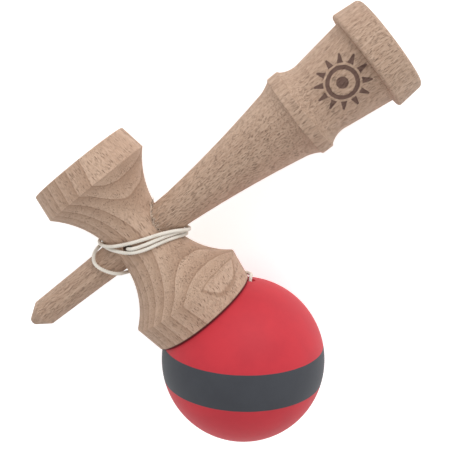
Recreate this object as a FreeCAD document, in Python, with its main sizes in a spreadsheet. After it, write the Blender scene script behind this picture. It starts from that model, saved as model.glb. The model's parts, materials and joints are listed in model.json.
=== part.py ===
"""A kendama, lying at rest on a table: a turned wooden handle with a spike and a base cup,
a double cup pushed on to the handle, a painted ball resting in the larger side cup, and one
string that ties them together and is wound three times round the crossing.

Sizes are in millimetres. Every piece is drawn in the toy's own axes, whose origin is where the
handle's axis crosses the double cup's axis: +X runs along the handle to the base cup, +Y along
the double cup to its free (small) end, and +Z away from the table side. rest_placement() then
lays the whole toy on the table, touching it with the ball, the base cup's rim and the small cup.
"""

import FreeCAD, Part
import Sketcher
import math
import os

V = FreeCAD.Vector

# Driving dimensions: name, value, what it is.
SIZES = [
    ("spike_reach", 54.5, "handle axis crossing to the tip of the spike"),
    ("spike_tip_r", 1.05, "radius of the flat tip of the spike"),
    ("spike_nose_r", 1.9, "spike radius behind its rounded nose"),
    ("spike_nose_length", 0.85, "length of the rounded nose"),
    ("spike_nose_round", 1.7, "radius of the nose's rounding"),
    ("spike_bevel", 6.2, "length of the spike's conical end"),
    ("spike_end_r", 5.12, "spike radius behind the conical end"),
    ("spike_root", 23.0, "where the spike ends and the seat's taper starts"),
    ("spike_root_r", 5.46, "spike radius there"),
    ("seat_end", 18.0, "where the seat's taper ends on the handle side"),
    ("seat_end_r", 6.79, "handle radius there"),
    ("grip_end", 64.5, "end of the grip's long flare"),
    ("grip_end_r", 13.0, "grip radius at its end"),
    ("grip_curve_r", 447.0, "radius of the grip's hollow flare"),
    ("ring_start", 69.0, "start of the raised ring"),
    ("ring_width", 4.7, "width of the raised ring"),
    ("ring_r", 15.55, "radius of the raised ring"),
    ("ring_round", 0.6, "rounding of the ring's two edges"),
    ("cove_r", 15.0, "hollow between the grip and the ring"),
    ("neck_x", 79.5, "narrowest place between the ring and the base cup"),
    ("neck_r", 13.15, "radius there"),
    ("neck_cove_r", 8.6, "hollow between the ring and the neck"),
    ("base_start", 97.9, "where the base cup's rim band starts"),
    ("base_under_r", 15.45, "radius of the cup's outside at the rim band"),
    ("base_band_r", 18.4, "radius of the rim band where it starts"),
    ("base_round", 1.0, "rounding of the rim band's edge where it starts"),
    ("base_lip_x", 106.3, "where the rim band starts to round over"),
    ("base_lip_r", 17.45, "radius there"),
    ("base_end", 107.9, "plane of the base cup's rim"),
    ("base_lip_round", 1.8, "radius of that rounding"),
    ("base_face_r", 16.2, "outer radius of the flat rim face"),
    ("base_mouth_r", 14.9, "mouth radius of the base cup"),
    ("base_dish_r", 23.0, "radius of the base cup's hollow"),
    ("waist_r", 10.9, "narrowest radius of the double cup"),
    ("waist_half", 1.0, "half length of the straight waist"),
    ("big_shoulder", 25.0, "crossing to the big cup's shoulder"),
    ("big_flare_r", 30.8, "radius of the big cup's flare"),
    ("big_rim", 35.55, "crossing to the big cup's rim"),
    ("big_rim_r", 20.75, "outer radius of the big cup's rim"),
    ("big_mouth_r", 19.45, "mouth radius of the big cup"),
    ("big_dish_r", 26.0, "radius of the big cup's hollow"),
    ("small_shoulder", 24.7, "crossing to the small cup's shoulder"),
    ("small_flare_r", 33.1, "radius of the small cup's flare"),
    ("small_rim", 34.25, "crossing to the small cup's rim"),
    ("small_rim_r", 19.55, "outer radius of the small cup's rim"),
    ("small_mouth_r", 17.9, "mouth radius of the small cup"),
    ("small_dish_r", 23.0, "radius of the small cup's hollow"),
    ("rim_round", 0.5, "rounding of the rims' outer edges"),
    ("seat_gap", 0.05, "radial clearance of the double cup on the handle"),
    ("cutter_share", 1.5, "how far the cup's cutters reach from its axis, in waist radii"),
    ("ball_r", 30.0, "radius of the ball"),
    ("ball_gap", 0.1, "gap between the ball and the cup's mouth edge"),
    ("ball_bore_r", 8.0, "radius of the ball's spike bore"),
    ("ball_bore_depth", 37.0, "depth of the spike bore"),
    ("bore_cone", 2.0, "depth of the bore's conical end"),
    ("ball_bevel", 2.2, "bevel at the bore's mouth"),
    ("bead_seat_r", 4.6, "radius of the smaller bore behind it, where the bead sits"),
    ("bead_seat_depth", 10.5, "from the spike bore's end to the bead bore's conical end"),
    ("bead_seat_cone", 2.0, "depth of that conical end"),
    ("ball_hole_r", 1.5, "radius of the ball's string hole"),
    ("hole_mouth_r", 1.9, "radius of the string hole's countersink"),
    ("hole_mouth_depth", 0.75, "depth of that countersink"),
    ("ball_hole_turn", 43.5, "degrees from the cup's axis to the string hole"),
    ("ball_hole_drop", 5.0, "degrees the string hole is turned under the cup"),
    ("bead_r", 4.0, "radius of the bead that stops the string in the ball"),
    ("bead_hole_r", 1.1, "radius of the bead's hole"),
    ("bead_face_r", 1.76, "radius of the bead's flat ends"),
    ("bead_gap", 0.3, "gap between the bead and the end of its bore"),
    ("string_r", 0.7, "radius of the string"),
    ("string_x", -3.2, "where the string crosses the handle"),
    ("cup_hole_r", 2.1, "radius of the string hole in the double cup's waist"),
    ("handle_hole_r", 1.5, "radius of the cross hole in the handle"),
    ("knot_pocket_r", 3.1, "radius of the pocket that hides the anchor knot"),
    ("knot_pocket_floor", 1.2, "handle axis to the floor of that pocket"),
    ("anchor_knot_r", 2.2, "radius of the anchor knot"),
    ("bead_knot_r", 1.8, "radius of the knot under the bead"),
    ("knot_gap", 0.1, "gap between the anchor knot and the pocket's floor"),
    ("knot_overlap", 0.2, "how far the string runs into each knot"),
    ("string_stand", 2.0, "how far the string stands off the ball where it bends"),
    ("tail_share", 0.3, "where the tail ends, as a share of its run to that bend"),
]

doc = FreeCAD.newDocument("kendama")
sheet = doc.addObject("Spreadsheet::Sheet", "Sizes")
for row, (size_name, size_value, meaning) in enumerate(SIZES, start=1):
    sheet.set(f"A{row}", size_name)
    sheet.set(f"B{row}", str(size_value))
    sheet.set(f"C{row}", meaning)
    sheet.setAlias(f"B{row}", size_name)
doc.recompute()


def size(name):
    """The value of one cell of the sheet."""
    return float(sheet.get(name))


def value(text):
    """The value of an expression of the sheet."""
    return float(sheet.evalExpression(text))


# ---------------------------------------------------------------- drawing helpers


def new_body(name, label):
    """An empty body with the piece's own label."""
    body = doc.addObject("PartDesign::Body", name)
    body.Label = label
    return body


def new_sketch(body, name, role="XY_Plane", lift=0.0):
    """An empty sketch on one of the body's own planes, lifted off it by lift."""
    sketch = body.newObject("Sketcher::SketchObject", name)
    plane = next(f for f in body.Origin.OriginFeatures if f.Role == role)
    sketch.AttachmentSupport = [(plane, "")]
    sketch.MapMode = "FlatFace"
    sketch.AttachmentOffset = FreeCAD.Placement(V(0, 0, lift), FreeCAD.Rotation())
    return sketch


def pin(sketch, edge, end, across, up):
    """Holds one end of an edge at the place that two expressions of the sheet give."""
    for kind, text in (("DistanceX", across), ("DistanceY", up)):
        place = value(text)
        if abs(place) < 1e-9:
            on_axis = -2 if kind == "DistanceX" else -1
            sketch.addConstraint(Sketcher.Constraint("PointOnObject", edge, end, on_axis))
            continue
        number = sketch.addConstraint(Sketcher.Constraint(kind, -1, 1, edge, end, place))
        sketch.setExpression(f"Constraints[{number}]", text)


def arc_between(start, end, radius, turn):
    """The arc from start to end; turn is +1 for anticlockwise and -1 for clockwise."""
    chord = end - start
    aside = V(-chord.y, chord.x, 0).normalize()
    rise = math.sqrt(max(radius ** 2 - (chord.Length / 2) ** 2, 0.0))
    centre = (start + end) / 2 + aside * rise * turn
    first, last = (start, end) if turn > 0 else (end, start)
    angles = [math.atan2(p.y - centre.y, p.x - centre.x) for p in (first, last)]
    circle = Part.Circle(centre, V(0, 0, 1), radius)
    return Part.ArcOfCircle(circle, angles[0], angles[1])


def outline(sketch, corners):
    """A closed outline. Each corner is (across, up) or (across, up, radius, turn), the
    last two for an arc from this corner to the next; all are expressions of the sheet."""
    places = [V(*[value(t) for t in c[:2]], 0) for c in corners]
    count = len(corners)
    for i, corner in enumerate(corners):
        start, end = places[i], places[(i + 1) % count]
        if len(corner) == 2:
            sketch.addGeometry(Part.LineSegment(start, end))
            continue
        sketch.addGeometry(arc_between(start, end, value(corner[2]), corner[3]))
    turns = [1 if len(c) == 2 else c[3] for c in corners]
    for i in range(count):
        after = (i + 1) % count
        leaving = 2 if turns[i] > 0 else 1
        arriving = 1 if turns[after] > 0 else 2
        sketch.addConstraint(Sketcher.Constraint("Coincident", i, leaving, after, arriving))
    for i, corner in enumerate(corners):
        pin(sketch, i, 1 if turns[i] > 0 else 2, corner[0], corner[1])
        if len(corner) > 2:
            number = sketch.addConstraint(Sketcher.Constraint("Radius", i, value(corner[2])))
            sketch.setExpression(f"Constraints[{number}]", corner[2])


def turned(body, sketch, axis, name, kind="Revolution"):
    """A full turn of the sketch about its own horizontal or vertical axis."""
    feature = body.newObject(f"PartDesign::{kind}", name)
    feature.Profile = sketch
    feature.ReferenceAxis = (sketch, [axis])
    feature.Angle = 360.0
    doc.recompute()
    return feature


def round_hole(body, name, across, up, radius, depth, lift=0.0, away=False):
    """A round pocket of the given depth, square to the body's XY plane."""
    sketch = new_sketch(body, name + "_circle", lift=lift)
    place = V(*[value(t) for t in (across, up)], 0)
    edge = sketch.addGeometry(Part.Circle(place, V(0, 0, 1), value(radius)))
    pin(sketch, edge, 3, across, up)
    number = sketch.addConstraint(Sketcher.Constraint("Radius", edge, value(radius)))
    sketch.setExpression(f"Constraints[{number}]", radius)
    before = body.Shape.Volume
    pocket = body.newObject("PartDesign::Pocket", name)
    pocket.Profile = sketch
    pocket.Reversed = away
    pocket.setExpression("Length", depth)
    doc.recompute()
    if body.Shape.Volume >= before:
        raise RuntimeError(f"{name} cuts nothing")
    return pocket


# ---------------------------------------------------------------- the wooden pieces

# Expression for half the bead's length along its hole.
BEAD_HALF = "sqrt(Sizes.bead_r ^ 2 - Sizes.bead_face_r ^ 2)"


def handle():
    """The handle: spike, tapered seat, flared grip, raised ring, neck and base cup."""
    body = new_body("Handle", "handle")
    sketch = new_sketch(body, "handle_outline")
    band_taper = ("(Sizes.base_band_r - Sizes.base_lip_r)"
                  " / (Sizes.base_lip_x - Sizes.base_start)")
    band_fall = f"Sizes.base_round * {band_taper}"
    outline(sketch, [
        ("-Sizes.spike_reach", "0"),
        ("-Sizes.spike_reach", "Sizes.spike_tip_r", "Sizes.spike_nose_round", -1),
        ("-Sizes.spike_reach + Sizes.spike_nose_length", "Sizes.spike_nose_r"),
        ("-Sizes.spike_reach + Sizes.spike_bevel", "Sizes.spike_end_r"),
        ("-Sizes.spike_root", "Sizes.spike_root_r"),
        ("Sizes.seat_end", "Sizes.seat_end_r", "Sizes.grip_curve_r", 1),
        ("Sizes.grip_end", "Sizes.grip_end_r", "Sizes.cove_r", 1),
        ("Sizes.ring_start", "Sizes.ring_r - Sizes.ring_round", "Sizes.ring_round", -1),
        ("Sizes.ring_start + Sizes.ring_round", "Sizes.ring_r"),
        ("Sizes.ring_start + Sizes.ring_width - Sizes.ring_round", "Sizes.ring_r",
         "Sizes.ring_round", -1),
        ("Sizes.ring_start + Sizes.ring_width", "Sizes.ring_r - Sizes.ring_round",
         "Sizes.neck_cove_r", 1),
        ("Sizes.neck_x", "Sizes.neck_r"),
        ("Sizes.base_start", "Sizes.base_under_r"),
        ("Sizes.base_start", "Sizes.base_band_r - Sizes.base_round", "Sizes.base_round", -1),
        ("Sizes.base_start + Sizes.base_round", f"Sizes.base_band_r - {band_fall}"),
        ("Sizes.base_lip_x", "Sizes.base_lip_r", "Sizes.base_lip_round", -1),
        ("Sizes.base_end", "Sizes.base_face_r"),
        ("Sizes.base_end", "Sizes.base_mouth_r", "Sizes.base_dish_r", 1),
        (dish_bottom("base_end", 1, "base_mouth_r", "base_dish_r"), "0"),
    ])
    turned(body, sketch, "H_Axis", "handle_turning")
    round_hole(body, "string_bore", "Sizes.string_x", "0", "Sizes.handle_hole_r",
               "Sizes.ring_r * 2", lift=-size("ring_r"), away=True)
    round_hole(body, "knot_pocket", "Sizes.string_x", "0", "Sizes.knot_pocket_r",
               "Sizes.ring_r", lift=-size("knot_pocket_floor"))
    return body


def dish_bottom(rim, side, mouth, dish):
    """Expression for where a cup's hollow meets its axis, inwards from the rim's plane."""
    deep = f"(Sizes.{dish} - sqrt(Sizes.{dish} ^ 2 - Sizes.{mouth} ^ 2))"
    return f"Sizes.{rim} - {deep}" if side > 0 else f"{deep} - Sizes.{rim}"


def double_cup():
    """The cross piece with the big cup (ball side, -Y) and the small cup (+Y), bored for
    the handle's taper and drilled through its upper wall for the string."""
    body = new_body("DoubleCup", "double_cup")
    sketch = new_sketch(body, "cup_outline")
    outline(sketch, [
        ("0", dish_bottom("big_rim", -1, "big_mouth_r", "big_dish_r"),
         "Sizes.big_dish_r", -1),
        ("Sizes.big_mouth_r", "-Sizes.big_rim"),
        ("Sizes.big_rim_r - Sizes.rim_round", "-Sizes.big_rim", "Sizes.rim_round", 1),
        ("Sizes.big_rim_r", "-Sizes.big_rim + Sizes.rim_round"),
        (flare_r("big"), "-Sizes.big_shoulder", "Sizes.big_flare_r", -1),
        ("Sizes.waist_r", "-Sizes.waist_half"),
        ("Sizes.waist_r", "Sizes.waist_half", "Sizes.small_flare_r", -1),
        (flare_r("small"), "Sizes.small_shoulder"),
        ("Sizes.small_rim_r", "Sizes.small_rim - Sizes.rim_round", "Sizes.rim_round", 1),
        ("Sizes.small_rim_r - Sizes.rim_round", "Sizes.small_rim"),
        ("Sizes.small_mouth_r", "Sizes.small_rim", "Sizes.small_dish_r", -1),
        ("0", dish_bottom("small_rim", 1, "small_mouth_r", "small_dish_r")),
    ])
    turned(body, sketch, "V_Axis", "cup_turning")
    bore = new_sketch(body, "bore_outline")
    reach = "(Sizes.waist_r * Sizes.cutter_share)"
    outline(bore, [
        (f"-{reach}", "0"),
        (reach, "0"),
        (reach, f"{seat_r(reach)} + Sizes.seat_gap"),
        (f"-{reach}", f"{seat_r('-' + reach)} + Sizes.seat_gap"),
    ])
    turned(body, bore, "H_Axis", "taper_bore", "Groove")
    round_hole(body, "string_hole", "Sizes.string_x", "0", "Sizes.cup_hole_r",
               reach, away=True)
    return body


def flare_r(side):
    """Expression for a cup's radius at its shoulder, where the flare's arc ends."""
    run = f"(Sizes.{side}_shoulder - Sizes.waist_half)"
    curve = f"Sizes.{side}_flare_r"
    return f"Sizes.waist_r + {curve} - sqrt({curve} ^ 2 - {run} ^ 2)"


def seat_r(x):
    """Expression for the handle's radius on its tapered seat at x."""
    slope = "(Sizes.seat_end_r - Sizes.spike_root_r) / (Sizes.seat_end + Sizes.spike_root)"
    return f"(Sizes.spike_root_r + {slope} * ({x} + Sizes.spike_root))"


def ball():
    """The ball, drawn with its string hole up its own +Z and the spike bore below."""
    body = new_body("Ball", "ball")
    sketch = new_sketch(body, "ball_outline", "XZ_Plane")
    mouth = "(Sizes.ball_bore_r + Sizes.ball_bevel)"
    end = "(Sizes.ball_bore_depth - Sizes.ball_r)"
    seat = f"({end} + Sizes.bead_seat_depth)"
    top = "sqrt(Sizes.ball_r ^ 2 - Sizes.hole_mouth_r ^ 2)"
    outline(sketch, [
        ("Sizes.ball_hole_r", f"{seat} + Sizes.bead_seat_cone"),
        ("Sizes.bead_seat_r", seat),
        ("Sizes.bead_seat_r", f"{end} + Sizes.bore_cone"),
        ("Sizes.ball_bore_r", end),
        ("Sizes.ball_bore_r", f"Sizes.ball_bevel - sqrt(Sizes.ball_r ^ 2 - {mouth} ^ 2)"),
        (mouth, f"-sqrt(Sizes.ball_r ^ 2 - {mouth} ^ 2)", "Sizes.ball_r", 1),
        ("Sizes.hole_mouth_r", top),
        ("Sizes.ball_hole_r", f"{top} - Sizes.hole_mouth_depth"),
    ])
    turned(body, sketch, "V_Axis", "ball_turning")
    return body


def bead():
    """The small wooden bead at the end of the ball's bores, drawn about the ball's own +Z."""
    body = new_body("Bead", "bead")
    sketch = new_sketch(body, "bead_outline", "XZ_Plane")
    outline(sketch, [
        ("Sizes.bead_hole_r", f"-{BEAD_HALF}"),
        ("Sizes.bead_face_r", f"-{BEAD_HALF}", "Sizes.bead_r", 1),
        ("Sizes.bead_face_r", BEAD_HALF),
        ("Sizes.bead_hole_r", BEAD_HALF),
    ])
    turned(body, sketch, "V_Axis", "bead_turning")
    return body


# ---------------------------------------------------------------- the string

ARC_SHARE = 0.45  # of the shorter run beside a corner, on each side of it
VOLUME_TOLERANCE = 0.01  # a tube that folds into itself differs more from its section's volume


def rounded_path(points):
    """Straight runs joined by tangent arcs, and the arcs' radii. Each arc is as large as
    its two runs allow."""
    edges, radii = [], []
    start = points[0]
    for before, corner, after in zip(points, points[1:], points[2:]):
        into, out = corner - before, after - corner
        half = into.getAngle(out) / 2
        cut = ARC_SHARE * min(into.Length, out.Length)
        first = corner - into.normalize() * cut
        last = corner + out.normalize() * cut
        radius = cut / math.tan(half)
        sag = radius * (1 / math.cos(half) - 1)
        middle = corner + ((first + last) / 2 - corner).normalize() * sag
        edges.append(Part.LineSegment(start, first).toShape())
        edges.append(Part.Arc(first, middle, last).toShape())
        radii.append(radius)
        start = last
    edges.append(Part.LineSegment(start, points[-1]).toShape())
    return Part.Wire(edges), radii


def string_piece(name, label, points):
    """A stretch of the string along a route; its start is cut square to its first run."""
    wire, radii = rounded_path(points)
    radius = size("string_r")
    start = points[1] - points[0]
    circle = Part.Wire([Part.Circle(points[0], start, radius).toShape()])
    tube = wire.makePipeShell([circle], True, False)
    share = tube.Volume / (math.pi * radius ** 2 * wire.Length)
    tightest = f", tightest arc {min(radii):.2f}" if radii else ""
    print(f"{label}: {wire.Length:.1f} mm{tightest}, volume share {share:.4f}")
    if abs(share - 1) > VOLUME_TOLERANCE:
        raise RuntimeError(f"{label} is folded: its volume is {share:.3f} of its section's")
    piece = doc.addObject("Part::Feature", name)
    piece.Label = label
    piece.Shape = tube
    return piece


def knot(name, label, radius_name):
    """A drawn-tight knot: a round lump."""
    lump = doc.addObject("Part::Sphere", name)
    lump.Label = label
    lump.setExpression("Radius", f"Sizes.{radius_name}")
    return lump


# The wound route, from the string hole to under the big cup. Each turn passes over the
# crossing from one corner to the opposite one and back under it.
WOUND = [
    V(-3.2, 0.0, 9.4),
    V(-2.9, 0.8, 11.4),
    V(-0.9, -0.3, 13.2),
    V(3.4, -2.0, 11.9),
    V(8.4, -3.6, 9.7),
    V(13.0, -6.0, 5.3),
    V(14.6, -8.1, 0.1),
    V(9.5, -5.8, -8.9),
    V(0.3, 0.6, -12.7),
    V(-9.1, 6.8, -9.5),
    V(-13.9, 9.2, -0.7),
    V(-9.9, 5.8, 9.7),
    V(0.3, 1.3, 12.9),
    V(12.2, -3.6, 8.7),
    V(17.3, -9.5, 0.8),
    V(10.4, -4.9, -10.2),
    V(0.0, -0.5, -14.4),
    V(-9.4, 4.9, -9.2),
    V(-13.4, 7.6, 0.1),
    V(-9.0, 4.1, 9.3),
    V(-1.3, -2.3, 13.8),
    V(10.2, -5.7, 8.5),
    V(14.5, -10.0, -2.0),
    V(9.1, -7.1, -9.3),
    V(-0.5, -1.9, -13.3),
    V(-11.1, 3.4, -8.5),
    V(-13.7, 7.0, -2.4),
    V(-17.1, 6.3, 3.6),
    V(-18.0, 2.5, 7.5),
    V(-14.0, -4.4, 7.4),
    V(-12.5, -7.0, 0.3),
    V(-12.4, -8.9, -5.5),
    V(-8.6, -11.7, -11.2),
]
# From under the big cup, up between its rim and the ball, to the ball's string hole.
TAIL = [
    V(-0.6, -15.6, -16.9),
    V(6.5, -22.5, -22.3),
    V(12.8, -28.8, -20.6),
    V(16.5, -34.0, -15.5),
    V(20.8, -35.8, -8.0),
]


def hole_direction():
    """The way the ball's string hole points, from the ball's centre."""
    turn = math.radians(size("ball_hole_turn"))
    drop = math.radians(size("ball_hole_drop"))
    return V(math.sin(turn) * math.cos(drop), math.cos(turn), -math.sin(turn) * math.sin(drop))


def ball_centre():
    """The ball's centre, a hair off the mouth edge of the big cup."""
    seat = math.sqrt((size("ball_r") + size("ball_gap")) ** 2 - size("big_mouth_r") ** 2)
    return V(0, -size("big_rim") - seat, 0)


def string_pieces():
    """The string in four stretches that meet face to face."""
    across = size("string_x")
    joint = V(across, 0, value(seat_r("Sizes.string_x")) + size("seat_gap") / 2)
    knot_top = anchor_height() + size("anchor_knot_r") - size("knot_overlap")
    core = string_piece("StringCore", "string_core", [V(across, 0, knot_top), joint])
    middle = (WOUND[-1] + TAIL[0]) / 2
    wound = string_piece("StringWound", "string_wound", [joint] + WOUND + [middle])
    along = hole_direction()
    bend = ball_centre() + along * (size("ball_r") + size("string_stand"))
    meet = TAIL[-1] + (bend - TAIL[-1]) * size("tail_share")
    tail = string_piece("StringTail", "string_tail", [middle] + TAIL + [meet])
    inside = ball_centre() + along * (bead_height() - value(BEAD_HALF))
    inner = string_piece("StringInBall", "string_in_ball", [meet, bend, inside])
    return [core, wound, tail, inner]


def anchor_height():
    """The height of the anchor knot's middle, under the floor of its pocket."""
    return -size("knot_pocket_floor") - size("knot_gap") - size("anchor_knot_r")


def bead_height():
    """How far the bead's centre stands from the ball's centre, towards the string hole,
    where the bead sits against the conical end of its bore."""
    wide = size("bead_seat_r") - size("ball_hole_r")
    deep = size("bead_seat_cone")
    seat = size("ball_bore_depth") - size("ball_r") + size("bead_seat_depth")
    apex = seat + deep * size("bead_seat_r") / wide
    return apex - (size("bead_r") + size("bead_gap")) * math.hypot(wide, deep) / wide


# ---------------------------------------------------------------- laying it down


def lean(reach, radius, height):
    """The angle that brings the lowest point of a ring, at reach along an axis and with
    that radius, down to the table when the axis starts at that height."""
    return math.atan2(reach, radius) - math.acos(height / math.hypot(reach, radius))


def rest_placement(standing):
    """Lays the toy on the table: the ball, the small cup's shoulder and the base cup's rim
    band touch it. The origin is under the middle of the wooden pieces, on the table."""
    away = -ball_centre().y
    cup_lean = lean(away + size("small_shoulder"), value(flare_r("small")), size("ball_r"))
    crossing = size("ball_r") - away * math.sin(cup_lean)
    handle_lean = lean(size("base_start"), size("base_band_r"), crossing)
    up = V(-math.sin(handle_lean), -math.sin(cup_lean), 0)
    up.z = math.sqrt(1 - up.x ** 2 - up.y ** 2)
    along = (V(1, 0, 0) - up * up.x).normalize()
    aside = up.cross(along)
    turn = FreeCAD.Rotation(FreeCAD.Matrix(
        along.x, along.y, along.z, 0,
        aside.x, aside.y, aside.z, 0,
        up.x, up.y, up.z, 0,
        0, 0, 0, 1))
    laid = FreeCAD.Placement(V(0, 0, crossing), turn)
    whole = Part.Compound([piece.Shape for piece in standing])
    whole.Placement = laid.multiply(whole.Placement)
    box = whole.optimalBoundingBox(False, False)
    laid.Base = laid.Base - V(box.Center.x, box.Center.y, 0)
    return laid


def check(pieces):
    """Stops on any failed object or bad shape."""
    doc.recompute()
    for thing in doc.Objects:
        if {"Invalid", "Error"} & set(thing.State):
            raise RuntimeError(f"{thing.Label} failed: {thing.State}")
    for piece in pieces:
        if piece.Shape.isNull() or not piece.Shape.isValid():
            raise RuntimeError(f"{piece.Label} has no valid shape")


# ---------------------------------------------------------------- building it

wooden = [handle(), double_cup(), ball(), bead()]
strings = string_pieces()
knots = [
    knot("AnchorKnot", "anchor_knot", "anchor_knot_r"),
    knot("BeadKnot", "bead_knot", "bead_knot_r"),
]

to_hole = FreeCAD.Rotation(V(0, 0, 1), hole_direction())
bead_place = ball_centre() + hole_direction() * bead_height()
knot_drop = value(BEAD_HALF) + size("bead_knot_r") - size("knot_overlap")
wooden[2].Placement = FreeCAD.Placement(ball_centre(), to_hole)
wooden[3].Placement = FreeCAD.Placement(bead_place, to_hole)
knots[0].Placement.Base = V(size("string_x"), 0, anchor_height())
knots[1].Placement.Base = bead_place - hole_direction() * knot_drop
doc.recompute()

pieces = wooden + strings + knots
laid = rest_placement(wooden[:3])
for piece in pieces:
    piece.Placement = laid.multiply(piece.Placement)
check(pieces)

os.makedirs("parts", exist_ok=True)
for piece in pieces:
    piece.Shape.exportStep(f"parts/{piece.Label}.step")
    print(f"{piece.Label}: {piece.Shape.Volume:.0f} mm3")
print("laid down by", laid)
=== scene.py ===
# %% [markdown]
# # A wooden kendama, lying at rest
# The toy is four pieces of turned beech and one string: a handle with a spike and a base cup, a
# double cup pushed on to it, a painted ball that rests in the big cup, and a small bead that
# keeps the string in the ball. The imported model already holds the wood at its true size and
# place, so this script gives it finishes, and makes the braided string, the knots and the small
# marks that a turned and used toy shows.

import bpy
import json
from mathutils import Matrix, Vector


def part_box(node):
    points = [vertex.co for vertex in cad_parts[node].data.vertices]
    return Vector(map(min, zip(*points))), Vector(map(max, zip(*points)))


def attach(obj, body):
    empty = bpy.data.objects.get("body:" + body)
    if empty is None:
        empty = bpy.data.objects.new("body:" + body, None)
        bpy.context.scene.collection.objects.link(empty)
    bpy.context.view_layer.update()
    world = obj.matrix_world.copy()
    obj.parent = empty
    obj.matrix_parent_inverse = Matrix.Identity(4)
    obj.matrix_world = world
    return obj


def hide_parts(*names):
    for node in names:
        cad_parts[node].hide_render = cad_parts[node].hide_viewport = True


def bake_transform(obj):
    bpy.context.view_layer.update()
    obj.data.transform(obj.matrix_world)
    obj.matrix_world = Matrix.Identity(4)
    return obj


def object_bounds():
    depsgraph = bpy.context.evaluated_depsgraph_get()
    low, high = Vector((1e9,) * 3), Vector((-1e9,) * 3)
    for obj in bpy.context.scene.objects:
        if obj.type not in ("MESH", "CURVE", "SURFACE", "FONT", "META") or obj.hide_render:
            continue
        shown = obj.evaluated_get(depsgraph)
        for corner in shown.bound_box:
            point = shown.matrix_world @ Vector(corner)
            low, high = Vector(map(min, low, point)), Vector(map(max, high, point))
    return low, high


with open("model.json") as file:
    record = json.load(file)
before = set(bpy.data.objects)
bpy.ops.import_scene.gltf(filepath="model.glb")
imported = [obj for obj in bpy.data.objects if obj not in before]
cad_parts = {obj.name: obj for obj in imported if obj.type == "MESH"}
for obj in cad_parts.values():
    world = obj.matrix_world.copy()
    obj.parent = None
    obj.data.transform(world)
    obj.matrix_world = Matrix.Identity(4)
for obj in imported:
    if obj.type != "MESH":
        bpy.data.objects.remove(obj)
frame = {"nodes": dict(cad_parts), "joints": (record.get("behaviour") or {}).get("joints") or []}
cad_box = [list(corner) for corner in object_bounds()]

# %% Imports
import json
import math
import random

import bpy
from mathutils import Matrix, Vector

MM = 0.001

# %% [markdown]
# ## The toy's own axes
# The handle lies a little tilted on the table, so its axis is no axis of the room. Everything
# is easier to place from where the handle crosses the double cup: x runs along the handle to
# the base cup, y along the double cup to the small cup, and z away from the table. The joints
# of the frame give two of these directions, and a cross product gives the third.

# %% The toy's axes
joints = {joint["name"]: joint for joint in frame["joints"]}
ALONG = -Vector(joints["cup_pull"]["axis"]).normalized()
ACROSS = -Vector(joints["ball_lift"]["axis"]).normalized()
UP = ALONG.cross(ACROSS).normalized()
BALL = Vector(joints["ball_spin"]["pos_m"])
HOLE = Vector(joints["ball_spin"]["axis"]).normalized()
CUP_TO_BALL = 58.52 * MM
CROSSING = BALL + ACROSS * CUP_TO_BALL


def spot(x, y, z):
    """A place in the room from millimetres along the toy's own axes."""
    return CROSSING + (ALONG * x + ACROSS * y + UP * z) * MM


def heading(x, y, z):
    """A direction in the room from one along the toy's own axes."""
    return (ALONG * x + ACROSS * y + UP * z).normalized()


print("crossing", [round(c, 4) for c in CROSSING], "axes", ALONG, ACROSS, UP)

# %% [markdown]
# ## The camera
# The toy is seen from above and a little towards its base cup, from about a quarter of a
# metre, with a lens slightly longer than normal. A camera looks down its own -Z with +Y up, so
# its matrix is built from three directions: right, up and backwards.

# %% The camera
EYE = spot(85.3, 21.4, 243.7)
VIEW_RIGHT = heading(0.7748, -0.6256, -0.0933)
VIEW_DOWN = heading(-0.5886, -0.7671, 0.2561)

camera_data = bpy.data.cameras.new("camera")
camera_data.lens = 57.33
camera_data.sensor_width = 36.0
camera_data.clip_start = 0.01
camera = bpy.data.objects.new("camera", camera_data)
bpy.context.scene.collection.objects.link(camera)
back = VIEW_RIGHT.cross(-VIEW_DOWN).normalized()
camera.matrix_world = Matrix.Translation(EYE) @ Matrix(
    (VIEW_RIGHT, back.cross(VIEW_RIGHT), back)).transposed().to_4x4()
bpy.context.scene.camera = camera
print("camera", camera.location, "looks along", -back)

# %% [markdown]
# ## The string's route
# One string comes out of a hole in the double cup, goes round the crossing three times,
# dives under the big cup's flare and ends in the ball. A NURBS spline through control points
# gives it the smooth line of something limp. Its order is set after the points are added,
# because before that it would stay at straight runs.

# %% The route
STRING_R = 0.7 * MM
# Millimetres from the ball's middle along its hole, just outside the ball and just inside it.
OVER_BALL, UNDER_PAINT = 31.2, 27.5
WOUND = [
    (-3.2, 0.0, 6.12), (-3.2, 0.0, 9.4), (-2.9, 0.8, 11.4), (-0.9, -0.3, 13.2), (3.4, -2.0, 11.9),
    (8.4, -3.6, 9.7), (13.0, -6.0, 5.3), (14.6, -8.1, 0.1), (9.5, -5.8, -8.9), (0.3, 0.6, -12.7),
    (-9.1, 6.8, -9.5), (-13.9, 9.2, -0.7), (-9.9, 5.8, 9.7), (0.3, 1.3, 12.9), (12.2, -3.6, 8.7),
    (17.3, -9.5, 0.8), (10.4, -4.9, -10.2), (0.0, -0.5, -14.4), (-9.4, 4.9, -9.2),
    (-13.4, 7.6, 0.1), (-9.0, 4.1, 9.3), (-1.3, -2.3, 13.8), (10.2, -5.7, 8.5), (14.5, -10.0, -2.0),
    (9.1, -7.1, -9.3), (-0.5, -1.9, -13.3), (-11.1, 3.4, -8.5), (-13.7, 7.0, -2.4),
    (-17.1, 6.3, 3.6), (-18.0, 2.5, 7.5), (-14.0, -4.4, 7.4), (-12.5, -7.0, 0.3),
    (-12.4, -8.9, -5.5), (-8.6, -11.7, -11.2),
]
TAIL = [
    (-0.6, -15.6, -16.9), (6.5, -22.5, -22.3), (12.3, -29.6, -20.9), (16.2, -35.2, -15.9),
    (19.6, -36.5, -10.6), (21.3, -36.4, -5.2),
]
route = [spot(*place) for place in WOUND + TAIL]
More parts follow.
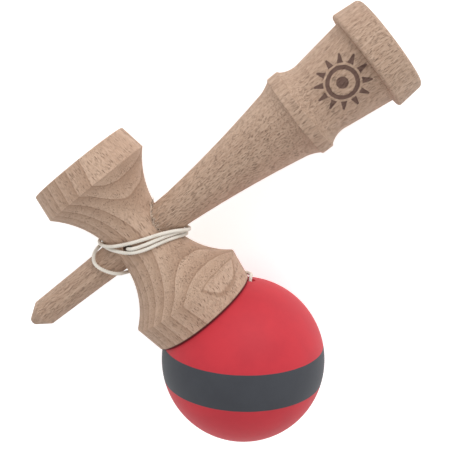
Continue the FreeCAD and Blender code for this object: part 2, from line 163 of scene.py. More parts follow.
route += [BALL + HOLE * OVER_BALL * MM, BALL + HOLE * UNDER_PAINT * MM]
print("control points:", len(route))

# %% A line through the route
def spline_line(name, places):
    """The points, a fraction of a millimetre apart, that a NURBS spline through places gives."""
    curve = bpy.data.curves.new(name, "CURVE")
    curve.dimensions = "3D"
    spline = curve.splines.new("NURBS")
    spline.points.add(len(places) - 1)
    for point, place in zip(spline.points, places):
        point.co = (*place, 1)
    spline.order_u = 3
    spline.use_endpoint_u = True
    spline.resolution_u = 12
    holder = bpy.data.objects.new(name, curve)
    bpy.context.scene.collection.objects.link(holder)
    bpy.context.view_layer.update()
    mesh = bpy.data.meshes.new_from_object(holder)
    line = [vertex.co.copy() for vertex in mesh.vertices]
    bpy.data.objects.remove(holder)
    bpy.data.meshes.remove(mesh)
    return line


def line_length(line):
    """The length of a line of points."""
    return sum((after - before).length for before, after in zip(line, line[1:]))


string_line = spline_line("string_route", route)
print("string:", len(string_line), "points,", round(line_length(string_line), 4), "m")

# %% [markdown]
# ## Building meshes from rings
# A strand, a tube or a splinter is a row of rings of points, joined by quads and closed by a
# cap at each end. One small function makes such a mesh, and everything thin uses it. Smooth
# shading is set on each face, so that a few points round a ring are enough.

# %% Meshes from rings
def rings_mesh(name, tubes):
    """An object from closed tubes, each of which is a list of rings of places."""
    places, faces = [], []
    for rings in tubes:
        first, around = len(places), len(rings[0])
        for ring in rings:
            places.extend(ring)
        for row in range(len(rings) - 1):
            for i in range(around):
                low, after = first + row * around, (i + 1) % around
                faces.append((low + i, low + after, low + around + after, low + around + i))
        faces.append(tuple(range(first + around - 1, first - 1, -1)))
        faces.append(tuple(range(len(places) - around, len(places))))
    mesh = bpy.data.meshes.new(name)
    mesh.from_pydata(places, [], faces)
    mesh.polygons.foreach_set("use_smooth", [True] * len(mesh.polygons))
    mesh.update()
    piece = bpy.data.objects.new(name, mesh)
    bpy.context.scene.collection.objects.link(piece)
    return piece


print("meshes from rings ready")

# %% Steps along a line
BRAID_STEP = 0.2 * MM


def even_steps(line, step):
    """The same line, with its points a fixed step apart."""
    count = max(2, round(line_length(line) / step))
    gap = line_length(line) / count
    steps, walked, wanted = [line[0].copy()], 0.0, gap
    for before, after in zip(line, line[1:]):
        run = (after - before).length
        while walked + run >= wanted - 1e-9 and len(steps) < count:
            steps.append(before.lerp(after, (wanted - walked) / run))
            wanted += gap
        walked += run
    return steps + [line[-1].copy()]


def frames_along(line):
    """Two directions square to the line at each of its points, which never spin round it."""
    frames = []
    side = (line[1] - line[0]).orthogonal().normalized()
    for i, place in enumerate(line):
        ahead = (line[min(i + 1, len(line) - 1)] - line[max(i - 1, 0)]).normalized()
        side = (side - ahead * side.dot(ahead)).normalized()
        frames.append((place, side, ahead.cross(side)))
    return frames


print("even steps on the route:", len(even_steps(string_line, BRAID_STEP)))

# %% [markdown]
# ## The braided string
# The string is a fine braid of eight strands round a core. Four strands turn one way and four
# the other, and each rises over one and dips under the next, which a cosine of the place along
# the string gives. Strands as real geometry catch the light as the fibre does, where a bump
# pattern would look painted on at this size.

# %% The braid
BRAID_PITCH = 3.4 * MM
STRAND_HALF_WIDTH = 0.25 * MM
STRAND_HALF_THICK = 0.16 * MM
STRAND_WAVE = 0.09 * MM
STRANDS_EACH_WAY = 4
CORE_SIDES, STRAND_SIDES = 10, 6


def oval(centre, side, other, wide, high, sides):
    """A ring of places round a centre, as wide along side and as high along the other."""
    turns = [math.tau * k / sides for k in range(sides)]
    return [centre + side * (wide * math.cos(turn)) + other * (high * math.sin(turn))
            for turn in turns]


def braid_tubes(line, radius, step=BRAID_STEP):
    """The core and the strands of a braid that follows the line."""
    steps = frames_along(even_steps(line, step))
    middle = radius - STRAND_WAVE - STRAND_HALF_THICK
    tubes = [[oval(place, side, other, middle, middle, CORE_SIDES)
              for place, side, other in steps[::2]]]
    for way in (1, -1):
        for strand in range(STRANDS_EACH_WAY):
            rings = []
            for i, (place, side, other) in enumerate(steps):
                turn = math.tau * (i * step / BRAID_PITCH * way + strand / STRANDS_EACH_WAY)
                wave = math.cos(math.tau * STRANDS_EACH_WAY * i * step / BRAID_PITCH)
                out = side * math.cos(turn) + other * math.sin(turn)
                aside = other * math.cos(turn) - side * math.sin(turn)
                centre = place + out * (middle + way * wave * STRAND_WAVE)
                rings.append(oval(centre, aside, out, STRAND_HALF_WIDTH, STRAND_HALF_THICK,
                                  STRAND_SIDES))
            tubes.append(rings)
    return tubes


string = rings_mesh("string", braid_tubes(string_line, STRING_R))
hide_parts("string_wound", "string_tail")
spot(-3.2, 0, 6.12)
spot(0, -14, 0)
spot(0, -34.5, 0)
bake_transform(string)
print("string:", len(string.data.polygons), "faces")

# %% [markdown]
# ## The string's hidden ends
# Inside the handle the string comes up from its anchor knot, and inside the ball it goes down
# to the bead. When the double cup is pulled off over the spike, the string comes with it, so
# this short stretch lies across the joint; here it is made as one piece, tied to neither part.

# %% The hidden end in the handle
CORE_R = 0.6 * MM

core_line = spline_line("core_route", [
    spot(-2.4, 0, -1.5), spot(-2.3, 0, 2.0), spot(-2.2, 0, 5.2), spot(-2.9, 0, 6.1),
    spot(-3.8, 0, 6.1), spot(-4.2, 0, 7.0), spot(-3.6, 0, 8.6),
])
string_core = rings_mesh("string_from_handle", braid_tubes(core_line, CORE_R))
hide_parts("string_core")
spot(-2.4, 0, 0)
spot(-4.1, 0, 0)
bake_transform(string_core)
print("core", round(line_length(core_line) * 1000, 1), "mm")

# %% The hidden end in the ball
BEAD_HALF = 3.6 * MM
# Millimetres from the ball's middle along its hole.
IN_HOLE, IN_BORE = 27.7, 20

bead_low, bead_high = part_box("bead")
bead_centre = (bead_low + bead_high) / 2
inner_line = spline_line("inner_route", [
    BALL + HOLE * IN_HOLE * MM, BALL + HOLE * IN_BORE * MM, bead_centre - HOLE * BEAD_HALF,
])
string_in_ball = rings_mesh("string_into_ball", braid_tubes(inner_line, STRING_R))
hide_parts("string_in_ball")
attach(string_in_ball, "bead")
print("in the ball", round(line_length(inner_line) * 1000, 1), "mm")

# %% [markdown]
# ## The knots
# A string this fine is stopped with an overhand knot, drawn tight. A trefoil curve is that
# knot: it winds twice round a ring while it dips three times through it. Sweeping the same
# braid along a small trefoil that is open at one place makes each knot a real one.

# %% The knots
KNOT_POINTS = 24
KNOT_LIFT = 0.55
KNOT_STRAND_SHARE = 0.36


def knot_line(centre, axis, radius):
    """A trefoil of the given radius round an axis, with its last stretch left open."""
    side = axis.orthogonal().normalized()
    other = axis.cross(side)
    places = []
    for i in range(KNOT_POINTS):
        turn = math.tau * i / KNOT_POINTS
        across = (math.sin(turn) + 2 * math.sin(2 * turn)) / 3
        along = (math.cos(turn) - 2 * math.cos(2 * turn)) / 3
        lift = -math.sin(3 * turn) * KNOT_LIFT
        places.append(centre + (side * across + other * along + axis * lift) * radius)
    return places


def knot_piece(name, node, body, axis):
    """A knot that stands for the CAD node and rides on the body."""
    low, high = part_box(node)
    size = min(high - low) / 2
    strand = size * KNOT_STRAND_SHARE
    line = spline_line(name + "_route", knot_line((low + high) / 2, axis, size - strand))
    piece = rings_mesh(name, braid_tubes(line, strand))
    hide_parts(node)
    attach(piece, body)
    print(name, "radius", round(size * 1000, 2), "mm")
    return piece


anchor_knot = knot_piece("anchor_knot_strands", "anchor_knot", "handle", UP)
bead_knot = knot_piece("bead_knot_strands", "bead_knot", "bead", HOLE)

# %% [markdown]
# ## Materials written as sums
# Each finish below is a formula: how far a place is from the pith, where a ring's dark edge
# lies, how deep a pore is. Writing such sums as ordinary Python is far shorter than adding
# maths nodes one at a time, so a small class wraps a node's output and adds the node for each
# operator that is used.

# %% Values that add their own nodes
class Value:
    """A number, vector or colour that varies over a surface."""

    def __init__(self, finish, socket):
        self.finish, self.socket = finish, socket

    def sum_node(self, operation, *operands):
        return self.finish.node("ShaderNodeMath", {"operation": operation},
                                dict(enumerate(operands)))

    def __add__(self, other):
        return self.sum_node("ADD", self, other)

    def __sub__(self, other):
        return self.sum_node("SUBTRACT", self, other)

    def __rsub__(self, other):
        return self.sum_node("SUBTRACT", other, self)

    def __mul__(self, other):
        return self.sum_node("MULTIPLY", self, other)

    def __truediv__(self, other):
        return self.sum_node("DIVIDE", self, other)

    def __pow__(self, power):
        return self.sum_node("POWER", self, power)

    __radd__, __rmul__ = __add__, __mul__

    def math(self, operation, *operands):
        """Any other operation of the Math node."""
        return self.sum_node(operation, self, *operands)

    def between(self, low, high):
        """0 up to low, 1 from high, and smooth between them; high may be the smaller one."""
        if low > high:
            return 1 - self.between(high, low)
        return self.finish.node(
            "ShaderNodeMapRange", {"interpolation_type": "SMOOTHSTEP", "clamp": True},
            {"Value": self, "From Min": low, "From Max": high})


print("values ready")

# %% Finishes
# The Mix node has sockets for every kind of data; these are the ones that a colour uses.
MIX_SHARE, MIX_FIRST, MIX_SECOND, MIX_RESULT = 0, 6, 7, 2


class Finish:
    """A material, and the nodes that make it."""

    def __init__(self, name, constants):
        self.material = bpy.data.materials.new(name)
        self.material.use_nodes = True
        self.tree = self.material.node_tree
        self.shader = self.tree.nodes["Principled BSDF"]
        for socket, number in constants.items():
            self.shader.inputs[socket].default_value = number

    def feed(self, socket, source):
        """Links a Value to the socket, or sets the socket to a plain number or colour."""
        if isinstance(source, Value):
            self.tree.links.new(source.socket, socket)
        else:
            socket.default_value = source

    def node(self, kind, settings=None, inputs=None, output=0):
        """Adds a node, with its settings first and then what its sockets get."""
        node = self.tree.nodes.new(kind)
        for name, setting in (settings or {}).items():
            setattr(node, name, setting)
        for name, source in (inputs or {}).items():
            self.feed(node.inputs[name], source)
        return Value(self, node.outputs[output])

    def vector(self, operation, first, second, output=0):
        """An operation of the Vector Math node."""
        return self.node("ShaderNodeVectorMath", {"operation": operation},
                         {0: first, 1: second}, output)

    def mix(self, share, colour, other):
        """A colour that goes to the other one as share goes from 0 to 1."""
        return self.node("ShaderNodeMix", {"data_type": "RGBA"}, {
            MIX_SHARE: share, MIX_FIRST: colour, MIX_SECOND: other}, MIX_RESULT)

    def noise(self, place, scale, detail=2.0, roughness=0.5):
        """A cloudy texture, from about 0 to 1."""
        return self.node("ShaderNodeTexNoise", None, {
            "Vector": place, "Scale": scale, "Detail": detail, "Roughness": roughness})

    def place(self):
        """The place on the piece, in the room's metres at rest."""
        return self.node("ShaderNodeTexCoord", output="Object")

    def along(self, place, centre, direction):
        """Millimetres from the centre along a direction."""
        from_centre = self.vector("SUBTRACT", place, centre)
        return self.vector("DOT_PRODUCT", from_centre, direction, "Value") * 1000

    def cells(self, place, output):
        """A texture of cells: the Distance to a cell's middle, or the Color of the cell."""
        return self.node("ShaderNodeTexVoronoi", {"feature": "F1"},
                         {"Vector": place, "Scale": 1.0, "Randomness": 1.0}, output)

    def combined(self, x, y, z):
        """A vector from three numbers."""
        return self.node("ShaderNodeCombineXYZ", None, {0: x, 1: y, 2: z})

    def drawn(self, axes, scale, bend=None):
        """A place for a texture that is drawn out along the grain. axes are millimetres along
        the grain and across it twice, and scale is features a millimetre along and across."""
        along, *across = axes
        across = [reach * scale[1] for reach in across]
        if bend is not None:
            across = [reach + bend for reach in across]
        return self.combined(along * scale[0], *across)

    def wear(self, colour=None, roughness=None, height=None, depth=0.1 * MM):
        """Connects what varies to the shader; height is of the surface, 1 for depth."""
        if colour is not None:
            self.feed(self.shader.inputs["Base Color"], colour)
        if roughness is not None:
            self.feed(self.shader.inputs["Roughness"], roughness)
        if height is not None:
            bump = self.node("ShaderNodeBump", None, {"Distance": depth, "Height": height})
            self.feed(self.shader.inputs["Normal"], bump)
        return self.material


print("finishes ready")

# %% Colours, and giving a finish to a piece
def tone(red, green, blue):
    """A colour named as on a paint card, 0 to 255 each, as the light values a shader needs."""
    parts = [part / 255 for part in (red, green, blue)]
    return [p / 12.92 if p <= 0.04045 else ((p + 0.055) / 1.055) ** 2.4 for p in parts] + [1.0]


def give(piece, material):
    """The piece wears this one material."""
    piece.data.materials.clear()
    piece.data.materials.append(material)


print("mid grey is", round(tone(128, 128, 128)[0], 3))

# %% [markdown]
# ## Beech
# Beech is a pale pinkish wood. Its growth rings are fine darker lines, and where a piece is
# turned, they show as nested arches on the flares, because a straight layer of the tree meets
# a curved surface. Short dark flecks along the grain are its rays, and the finest dark dashes
# are its pores. All of it is worked out in three dimensions from the pith of the tree, so that
# lines run on over edges and into hollows as they do in real wood, which a picture wrapped
# round the piece can't do. Each pattern is a sum of its own, and the last function lays them
# over each other.

# %% The growth rings
RING_WANDER = 2.4
# Each pair is where something starts and where it is full. A ring goes from 0, its early wood,
# to 1, where its late wood ends.
RING_LATE = (0.20, 0.90)
RING_END = (1.0, 0.90)
RING_SEASON = (0.20, 0.62)
EDGE_RISE, EDGE_END = (0.87, 0.94), (1.0, 0.96)
RING_EARLY = (0.36, 0.02)


def growth_rings(finish, axes, clouded, pith, ring_width):
    """How much a place is late wood, the sharp edge after it, and early wood, 0 to 1 each."""
    _, y, z = axes
    wander = finish.noise(clouded, 0.07, 1.0) - 0.5
    from_pith = ((y - pith[0]) ** 2 + (z - pith[1]) ** 2) ** 0.5 + wander * RING_WANDER
    ring = (from_pith / ring_width).math("FRACT")
    season = finish.noise(finish.combined(from_pith * 0.21, 0.5, 0.5), 1.0, 1.0)
    late = ring.between(*RING_LATE) * ring.between(*RING_END) * season.between(*RING_SEASON)
    edge = ring.between(*EDGE_RISE) * ring.between(*EDGE_END)
    return late, edge, ring.between(*RING_EARLY)


print("rings wander by up to", RING_WANDER / 2, "mm")

# %% The rays and the pores
# Scales are features a millimetre, along the grain and across it. Edges are distances from a
# cell's middle, in widths of a cell.
BEND_SCALE = (0.2, 0.3)
RAY_SCALE, RAY_EDGE, RAY_CHOSEN = (0.22, 2.2), (0.32, 0.23), (0.54, 0.68)
PORE_SCALE, PORE_EDGE = (0.46, 3.2), (0.34, 0.22)


def rays_and_pores(finish, axes, bend):
    """1 on a ray and 1 on a pore. Both are the middles of long cells, and only some of the
    rays' cells, chosen by their colour, have a ray."""
    ray_place = finish.drawn(axes, RAY_SCALE, bend)
    ray_luck = finish.vector("DOT_PRODUCT", finish.cells(ray_place, "Color"),
                             (1.0, 0.0, 0.0), "Value")
    ray = finish.cells(ray_place, "Distance").between(*RAY_EDGE) * ray_luck.between(*RAY_CHOSEN)
    pore_place = finish.drawn(axes, PORE_SCALE, bend)
    return ray, finish.cells(pore_place, "Distance").between(*PORE_EDGE)


print("a ray's cell is", round(1 / RAY_SCALE[0], 1), "mm long")

# %% The beech finish
WOOD_LIGHT = tone(196, 169, 148)
WOOD_BODY = tone(182, 154, 134)
WOOD_RING = tone(142, 113, 93)
WOOD_PORE = tone(122, 94, 76)
WOOD_FLECK = tone(92, 66, 51)
WOOD_PALE = tone(216, 192, 172)
WOOD_WARM = tone(222, 180, 150)
FIBRE_SCALE, FIBRE_PALE, FIBRE_DARK = (0.14, 2.0), (0.46, 0.66), (0.50, 0.30)
GRAIN_SCALE, GRAIN_PALE, GRAIN_DARK = (0.36, 4.3), (0.52, 0.58), (0.47, 0.41)
FINE_SCALE = (0.9, 8.0)


def beech(name, centre, grain, side, pith, ring_width, strength):
    """Beech whose grain runs along one direction; pith is the tree's middle, in millimetres
    along side and along the third direction, and strength is how much the rings, the grain,
    the pores and the flecks show. Gives the finish, its sums and the place."""
    ring_strength, grain_strength, pore_strength, fleck_strength = strength
    finish = Finish(name, {"Specular IOR Level": 0.32})
    place = finish.place()
    axes = [finish.along(place, centre, way) for way in (grain, side, grain.cross(side))]
    clouded = finish.combined(axes[0] * 0.12, axes[1], axes[2])
    bend = finish.noise(finish.drawn(axes, BEND_SCALE), 1.0)
    late, edge, early = growth_rings(finish, axes, clouded, pith, ring_width)
    ray, pore = rays_and_pores(finish, axes, bend)
    fibre = finish.noise(finish.drawn(axes, FIBRE_SCALE), 1.0, 3.0, 0.62)
    fine = finish.noise(finish.drawn(axes, FINE_SCALE), 1.0, 2.0, 0.6)
    grain_line = finish.noise(finish.drawn(axes, GRAIN_SCALE, bend), 1.0, 1.5, 0.5)
    cloud = finish.noise(clouded, 0.13, 2.0)
    colour = finish.mix(cloud.between(0.30, 0.70), WOOD_BODY, WOOD_LIGHT)
    for share, layer in (
            (fibre.between(*FIBRE_PALE) * 0.18, WOOD_PALE),
            (fibre.between(*FIBRE_DARK) * 0.22, WOOD_RING),
            (grain_line.between(*GRAIN_PALE) * 0.55 * grain_strength, WOOD_PALE),
            (grain_line.between(*GRAIN_DARK) * 0.60 * grain_strength, WOOD_RING),
            (early * ring_strength * 0.40, WOOD_PALE),
            (late * ring_strength, WOOD_RING),
            (edge * ring_strength * 1.5, WOOD_RING),
            (pore * pore_strength, WOOD_PORE),
            (ray * fleck_strength, WOOD_FLECK)):
        colour = finish.mix(share, colour, layer)
    height = (fibre * 0.2 + grain_line * 1.3 + fine * 0.2
              - ray * 1.0 - pore * 0.9 - late * 0.10)
    roughness = 0.62 + fibre * 0.16 + ray * 0.1
    return finish, colour, roughness, height, axes


def turned_grooves(turns):
    """Fine grooves round a turned piece; turns counts them along it."""
    groove = turns.math("FRACT")
    return groove.between(0.0, 0.5) * groove.between(1.0, 0.5)


print("beech ready")

# %% [markdown]
# ## The handle's finish
# The handle is beech with the grain along its axis and hardly any ring lines, as in a
# quarter-sawn billet. Near the base cup a small mark is burnt in. Here it is a plain sun: a
# ring, a dot and twelve rays, drawn by distances from its middle and repeated by folding the
# angle, with an uneven burnt edge. The turning tool also leaves faint grooves round the piece.

# %% The burnt mark
# Millimetres: where the mark is along the handle, and where each part of the sun starts and is
# full, counted from the sun's middle or from the middle of a line.
MARK_X = 88.0
MARK_TURN = math.radians(2.0)
MARK_BROWN = tone(94, 68, 62)
NECK_R = 14.2
SUN_RING_R, SUN_RING_HALF = 4.7, (0.75, 0.55)
SUN_DOT = (2.0, 1.75)
SUN_RAYS, SUN_RAY_HALF = 12, (1.05, 0.85)
SUN_RAY_FROM, SUN_RAY_TO = (6.0, 6.25), (9.3, 9.0)
TAPER_FROM, TAPER = 6.2, 0.24


def burnt_mark(finish, axes):
    """1 where the sun is burnt into the neck, on the side away from the table."""
    x, y, z = axes
    across = (y.math("ARCTAN2", z) - MARK_TURN) * NECK_R
    along = x - MARK_X
    edge = (finish.noise(finish.combined(x, y, z), 1.7, 3.0, 0.6) - 0.5) * 0.7
    reach = (along ** 2 + across ** 2) ** 0.5 + edge * 0.5
    ring = (reach - SUN_RING_R).math("ABSOLUTE").between(*SUN_RING_HALF)
    dot = reach.between(*SUN_DOT)
    sector = math.tau / SUN_RAYS
    # The hundred sectors more keep the angle positive; the half puts a ray in each middle.
    fold = (across.math("ARCTAN2", along) / sector + 100.5).math("FRACT") - 0.5
    off_ray = (fold * sector * reach).math("ABSOLUTE") + edge * 0.25
    taper = 1.0 - (reach - TAPER_FROM) * TAPER
    ray = (off_ray / taper).between(*SUN_RAY_HALF)
    ray = ray * reach.between(*SUN_RAY_FROM) * reach.between(*SUN_RAY_TO)
    return ring.math("MAXIMUM", dot).math("MAXIMUM", ray) * z.between(2.0, 4.0)


print("the sun is", 2 * SUN_RAY_TO[0], "mm across")

# %% The handle's finish
# The pith's place and a ring's width are in millimetres; what shows is a share for the rings,
# the grain, the pores and the flecks.
HANDLE_PITH, HANDLE_RING = (-38.0, 24.0), 2.3
HANDLE_SHOWS = (0.20, 0.42, 0.62, 0.24)
HANDLE_WARMTH = 0.14
TURNING_STEP = 0.55

finish, colour, roughness, height, axes = beech(
    "beech_along_handle", CROSSING, ALONG, ACROSS, HANDLE_PITH, HANDLE_RING, HANDLE_SHOWS)
colour = finish.mix(HANDLE_WARMTH, colour, WOOD_WARM)
mark = burnt_mark(finish, axes)
char = finish.noise(finish.drawn(axes, (0.5, 3)), 1.0, 3.0)
colour = finish.mix(mark * (0.72 + char * 0.28), colour, MARK_BROWN)
uneven = finish.noise(finish.combined(axes[0] * 0.3, 0.5, 0.5), 1.0) * 2.0
height = height + turned_grooves(axes[0] / TURNING_STEP + uneven) * 0.12 - mark * 1.2
give(frame["nodes"]["handle"], finish.wear(colour, roughness + mark * 0.12, height, 0.20 * MM))
print("handle finished with", len(finish.tree.nodes), "nodes")

# %% [markdown]
# ## The double cup's finish
# The double cup is a second piece of beech, with the grain along its own axis. The pith lay
# below it on the spike's side, so the layers cross the flares at a slant and show there as
# clear nested arches. The big cup's rim face is painted dark, as shade in the wedge by the ball.

# %% The double cup's finish
CUPS_PITH, CUPS_RING = (-60.0, 43.0), 3.8
CUPS_SHOW = (0.46, 0.42, 0.12, 0.72)
CUPS_WARMTH = 0.22
# Painted shade: the dark colour of the rim face, where the ball sits close in front of it.
RIM_PAINTED_SHADE = tone(74, 36, 38)
RIM_SHADE_SPAN_Y = (-34.95, -35.3)

finish, colour, roughness, height, axes = beech(
    "beech_along_cups", CROSSING, ACROSS, ALONG, CUPS_PITH, CUPS_RING, CUPS_SHOW)
colour = finish.mix(CUPS_WARMTH, colour, WOOD_WARM)
# Painted shade on the rim face, for the narrow wedge between the rim and the resting ball.
colour = finish.mix(axes[0].between(*RIM_SHADE_SPAN_Y) * 0.85, colour, RIM_PAINTED_SHADE)
height = height + turned_grooves(axes[0] / TURNING_STEP) * 0.10
give(frame["nodes"]["double_cup"], finish.wear(colour, roughness, height, 0.18 * MM))
print("double cup finished with", len(finish.tree.nodes), "nodes")

# %% [markdown]
# ## The painted ball
# The ball is beech too, under a thick matte paint that grips the cups: red with one dark band
# round the middle. The band is two level cuts square to an axis that leans a little off the
# string hole. Where the ball rests in the big cup, a thin faint ring of painted shade lies on it.
# Paint doesn't reach into the bore, so there the bare wood shows, and the finish tells the two
# apart by the distance from the ball's centre.

# %% The ball's sizes and paints
# Millimetres: the band along its own axis, the painted shade ring along the cups' axis, and how
# far from the ball's middle the bare wood starts and is full.
BAND_AXIS = heading(0.635, 0.772, -0.028)
BAND_TOP, BAND_BOTTOM = 6.57, -6.69
BAND_SOFT, BAND_WOBBLE = 0.14, 0.16
# Where the painted shade ring along the cup's rim starts and ends on the ball.
CONTACT_SHADE_FROM, CONTACT_SHADE_TO = (22.15, 22.45), (23.6, 23.3)
BARE_INSIDE = (29.2, 28.7)
BALL_PITH, BALL_RING = (30.0, 12.0), 2.6
SMALL_WOOD_SHOWS = (0.4, 0.6, 0.4, 0.6)
PAINT_RED = tone(203, 52, 63)
PAINT_RED_DEEP = tone(194, 48, 60)
PAINT_BAND = tone(62, 64, 70)
PAINT_BAND_WORN = tone(72, 75, 81)
PAINT_SCUFF = tone(216, 88, 96)
# Painted shade: the dark colour of the ring where the ball meets the cup's rim.
PAINT_CONTACT_SHADE = tone(62, 24, 32)
HOLE_SIDE = HOLE.orthogonal().normalized()
print("the band is", round(BAND_TOP - BAND_BOTTOM, 2), "mm wide")

# %% The paint
def ball_paint(finish, axes):
    """The paint's colour, roughness and height: red, a dark band, scuffs and a painted shade ring.
    """
    x, y, z = axes
    place = finish.place()
    wobble = (finish.noise(place, 260.0, 2.0) - 0.5) * BAND_WOBBLE
    over_middle = finish.along(place, BALL, BAND_AXIS) + wobble
    band = (over_middle.between(BAND_TOP, BAND_TOP - BAND_SOFT)
            * over_middle.between(BAND_BOTTOM, BAND_BOTTOM + BAND_SOFT))
    mottle = finish.noise(place, 70.0, 4.0, 0.6)
    speckle = finish.noise(place, 2600.0, 2.0, 0.6)
    scuff = finish.noise(finish.combined(x * 0.25, y * 1.6, z * 0.5), 1.0, 4.0, 0.7)
    scuff = scuff.between(0.66, 0.80)
    red = finish.mix(mottle.between(0.32, 0.68), PAINT_RED_DEEP, PAINT_RED)
    red = finish.mix(scuff * 0.35, red, PAINT_SCUFF)
    dark = finish.mix(mottle.between(0.3, 0.7) * 0.5 + scuff * 0.3, PAINT_BAND, PAINT_BAND_WORN)
    on_cup_axis = finish.along(place, BALL, ACROSS)
    # Painted shade: a thin dark ring on the paint along the cup's rim, as the contact shadow.
    contact_shade = on_cup_axis.between(*CONTACT_SHADE_FROM) * on_cup_axis.between(*CONTACT_SHADE_TO)
    colour = finish.mix(contact_shade * 0.5, finish.mix(band, red, dark), PAINT_CONTACT_SHADE)
    roughness = 0.50 + mottle * 0.14 + speckle * 0.08
    return colour, roughness, mottle * 0.15 + speckle * 0.25 + band * 0.5


print("paint ready")

# %% The ball's finish
finish, wood_colour, _, wood_height, axes = beech(
    "ball_paint", BALL, HOLE, HOLE_SIDE, BALL_PITH, BALL_RING, SMALL_WOOD_SHOWS)
paint, roughness, paint_height = ball_paint(finish, axes)
bare = (finish.vector("DISTANCE", finish.place(), BALL, "Value") * 1000).between(*BARE_INSIDE)
colour = finish.mix(bare, paint, wood_colour)
height = paint_height * (1 - bare) + wood_height * bare
give(frame["nodes"]["ball"], finish.wear(colour, roughness + bare * 0.15, height, 0.06 * MM))
print("ball finished with", len(finish.tree.nodes), "nodes")

# %% [markdown]
# ## The bead
# The bead is a small turned ball of pale wood, only seen deep in the bore. It gets the same
# beech, at its own grain along the hole, with smaller rings.

# %% The bead's finish
BEAD_PITH, BEAD_RING = (9.0, 4.0), 0.9

finish, colour, roughness, height, _ = beech(
    "bead_beech", bead_centre, HOLE, HOLE_SIDE, BEAD_PITH, BEAD_RING, SMALL_WOOD_SHOWS)
give(frame["nodes"]["bead"], finish.wear(colour, roughness, height, 0.06 * MM))
print("bead finished")

# %% [markdown]
# ## Torn fibres round the bore
# The handle's hole in the double cup is drilled across the grain, and the drill leaves a
# fringe of torn fibres where it breaks out. They are fine curved splinters, each a tapering
# three-sided tube rooted in the edge of the hole. Their places and bends come from a random
# generator with a fixed seed, so that they are the same each time.

# %% Where the fibres stand
# Millimetres: the hole's edge, and the double cup's waist and the arc of its flare.
EDGE_R = 6.98
WAIST_R, WAIST_HALF, SMALL_FLARE_R = 10.9, 1.0, 33.1


def edge_x(across, up):
    """How far along the handle the flare's surface lies over a point of the hole's edge."""
    flare = WAIST_R
    if abs(across) > WAIST_HALF:
        flare += SMALL_FLARE_R - math.sqrt(SMALL_FLARE_R ** 2 - (abs(across) - WAIST_HALF) ** 2)
    return math.sqrt(flare ** 2 - up ** 2)


print("the edge is", round(edge_x(EDGE_R, 0), 2), "mm out beside the handle")

# %% The fibres
SPLINTERS = 64
SPLINTER_STEPS, SPLINTER_SIDES = 4, 3
LUCK_SEED = 11
ROUND_EDGE = (12, 112)
LEAN, OUTWARD = (-1.1, 1.1), 0.3
BEND_ALONG = (-0.4, 0.3)
LENGTH, THICKNESS = (1.2, 3.4), (0.10, 0.24)
ROOT_DEPTH = 0.15
TIP_CURL, TIP_THINNING = 0.5, 0.88


def splinter(luck):
    """The rings of one splinter, from its root at the hole's edge to its tip."""
    turn = math.radians(luck.uniform(*ROUND_EDGE))
    across, up = math.cos(turn), math.sin(turn)
    root = spot(edge_x(across * EDGE_R, up * EDGE_R) - ROOT_DEPTH, across * EDGE_R, up * EDGE_R)
    lean = luck.uniform(*LEAN)
    way = heading(1.0, across * OUTWARD - up * lean, up * OUTWARD + across * lean)
    bend = heading(luck.uniform(*BEND_ALONG), across, up)
    long, thick = luck.uniform(*LENGTH) * MM, luck.uniform(*THICKNESS) * MM
    side = way.orthogonal().normalized()
    other = way.cross(side)
    rings = []
    for step in range(SPLINTER_STEPS + 1):
        share = step / SPLINTER_STEPS
        centre = root + way * long * share + bend * (long * TIP_CURL * share ** 2)
        radius = thick * (1 - TIP_THINNING * share)
        rings.append(oval(centre, side, other, radius, radius, SPLINTER_SIDES))
    return rings


luck = random.Random(LUCK_SEED)
fibres = rings_mesh("torn_fibres", [splinter(luck) for _ in range(SPLINTERS)])
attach(fibres, "cups")
print(SPLINTERS, "splinters,", len(fibres.data.polygons), "faces")

# %% The fibres' finish
FIBRE_BROWN = tone(98, 70, 52)
FIBRE_CREAM = tone(243, 226, 208)

finish = Finish("fibre_beech", {"Roughness": 0.8, "Specular IOR Level": 0.2})
shade = finish.noise(finish.place(), 900.0, 2.0)
give(fibres, finish.wear(finish.mix(shade.between(0.3, 0.5), FIBRE_BROWN, FIBRE_CREAM)))
print("fibres finished")

# %% [markdown]
# ## Nylon
# The string is off-white nylon. The strands are already modelled, so the finish adds what is
# finer: filaments along them, a slightly yellow cast in places, and a soft sheen.

# %% The string's finish
NYLON = tone(247, 242, 232)
NYLON_SHADE = tone(222, 213, 199)

finish = Finish("string_nylon", {"Specular IOR Level": 0.4, "Sheen Weight": 0.25})
place = finish.place()
filament = finish.noise(place, 9000.0, 2.0, 0.6)
cast = finish.noise(place, 180.0, 2.0)
colour = finish.mix(cast.between(0.35, 0.75) * 0.5 + filament.between(0.6, 0.3) * 0.35,
                    NYLON, NYLON_SHADE)
nylon = finish.wear(colour, 0.55 + filament * 0.2, filament, 0.03 * MM)
for piece in (string, string_core, string_in_ball, anchor_knot, bead_knot):
    give(piece, nylon)
print("string finished")

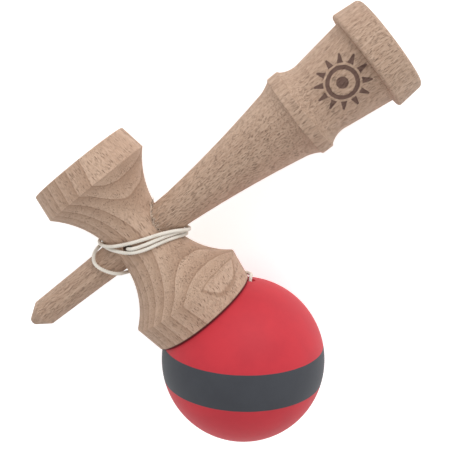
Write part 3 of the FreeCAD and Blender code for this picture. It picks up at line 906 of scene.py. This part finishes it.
# %% [markdown]
# ## The floor and the light
# The toy lies on a plain white floor in a light tent, whose floor glows a little too, so that
# hardly any shadow is left. A bright world fills from all sides, and one wide area light from
# the base cup's side gives the wood its gentle modelling.

# %% The floor
FLOOR_HALF = 3.0
FLOOR_GLOW = 0.55


def floor_sheet(half):
    """A flat square sheet on the floor, with its edges far out of view."""
    mesh = bpy.data.meshes.new("floor")
    mesh.from_pydata([(-half, -half, 0), (half, -half, 0), (half, half, 0), (-half, half, 0)], [],
                     [(0, 1, 2, 3)])
    sheet = bpy.data.objects.new("floor", mesh)
    bpy.context.scene.collection.objects.link(sheet)
    return sheet


floor = floor_sheet(FLOOR_HALF)
finish = Finish("floor_white", {
    "Base Color": (0.9, 0.9, 0.9, 1), "Roughness": 0.9, "Specular IOR Level": 0.1,
    "Emission Color": (1, 1, 1, 1), "Emission Strength": FLOOR_GLOW})
give(floor, finish.material)
print("floor", 2 * FLOOR_HALF, "m wide")

# %% The light
WORLD_STRENGTH = 0.72
KEY_WAY = heading(0.85, 0.55, 0.62)
KEY_SIZE, KEY_POWER = 0.6, 4.0

world = bpy.data.worlds.new("light tent")
world.use_nodes = True
world.node_tree.nodes["Background"].inputs["Color"].default_value = (1.0, 1.0, 1.0, 1)
world.node_tree.nodes["Background"].inputs["Strength"].default_value = WORLD_STRENGTH
bpy.context.scene.world = world


def soft_box(name, place, target, size, power):
    """A square area light that faces the target."""
    data = bpy.data.lights.new(name, "AREA")
    data.size = size
    data.energy = power
    light = bpy.data.objects.new(name, data)
    bpy.context.scene.collection.objects.link(light)
    light.location = place
    light.rotation_euler = (place - target).to_track_quat("Z", "Y").to_euler()
    return light


toy_middle = (Vector(cad_box[0]) + Vector(cad_box[1])) / 2
key = soft_box("key", toy_middle + KEY_WAY, toy_middle, KEY_SIZE, KEY_POWER)
bpy.context.scene.view_settings.view_transform = "Standard"
print("key light at", key.location)

# %% [markdown]
# ## The last step
# Last, the view layer is updated, so that every change above is in place.

# %% Update
bpy.context.view_layer.update()
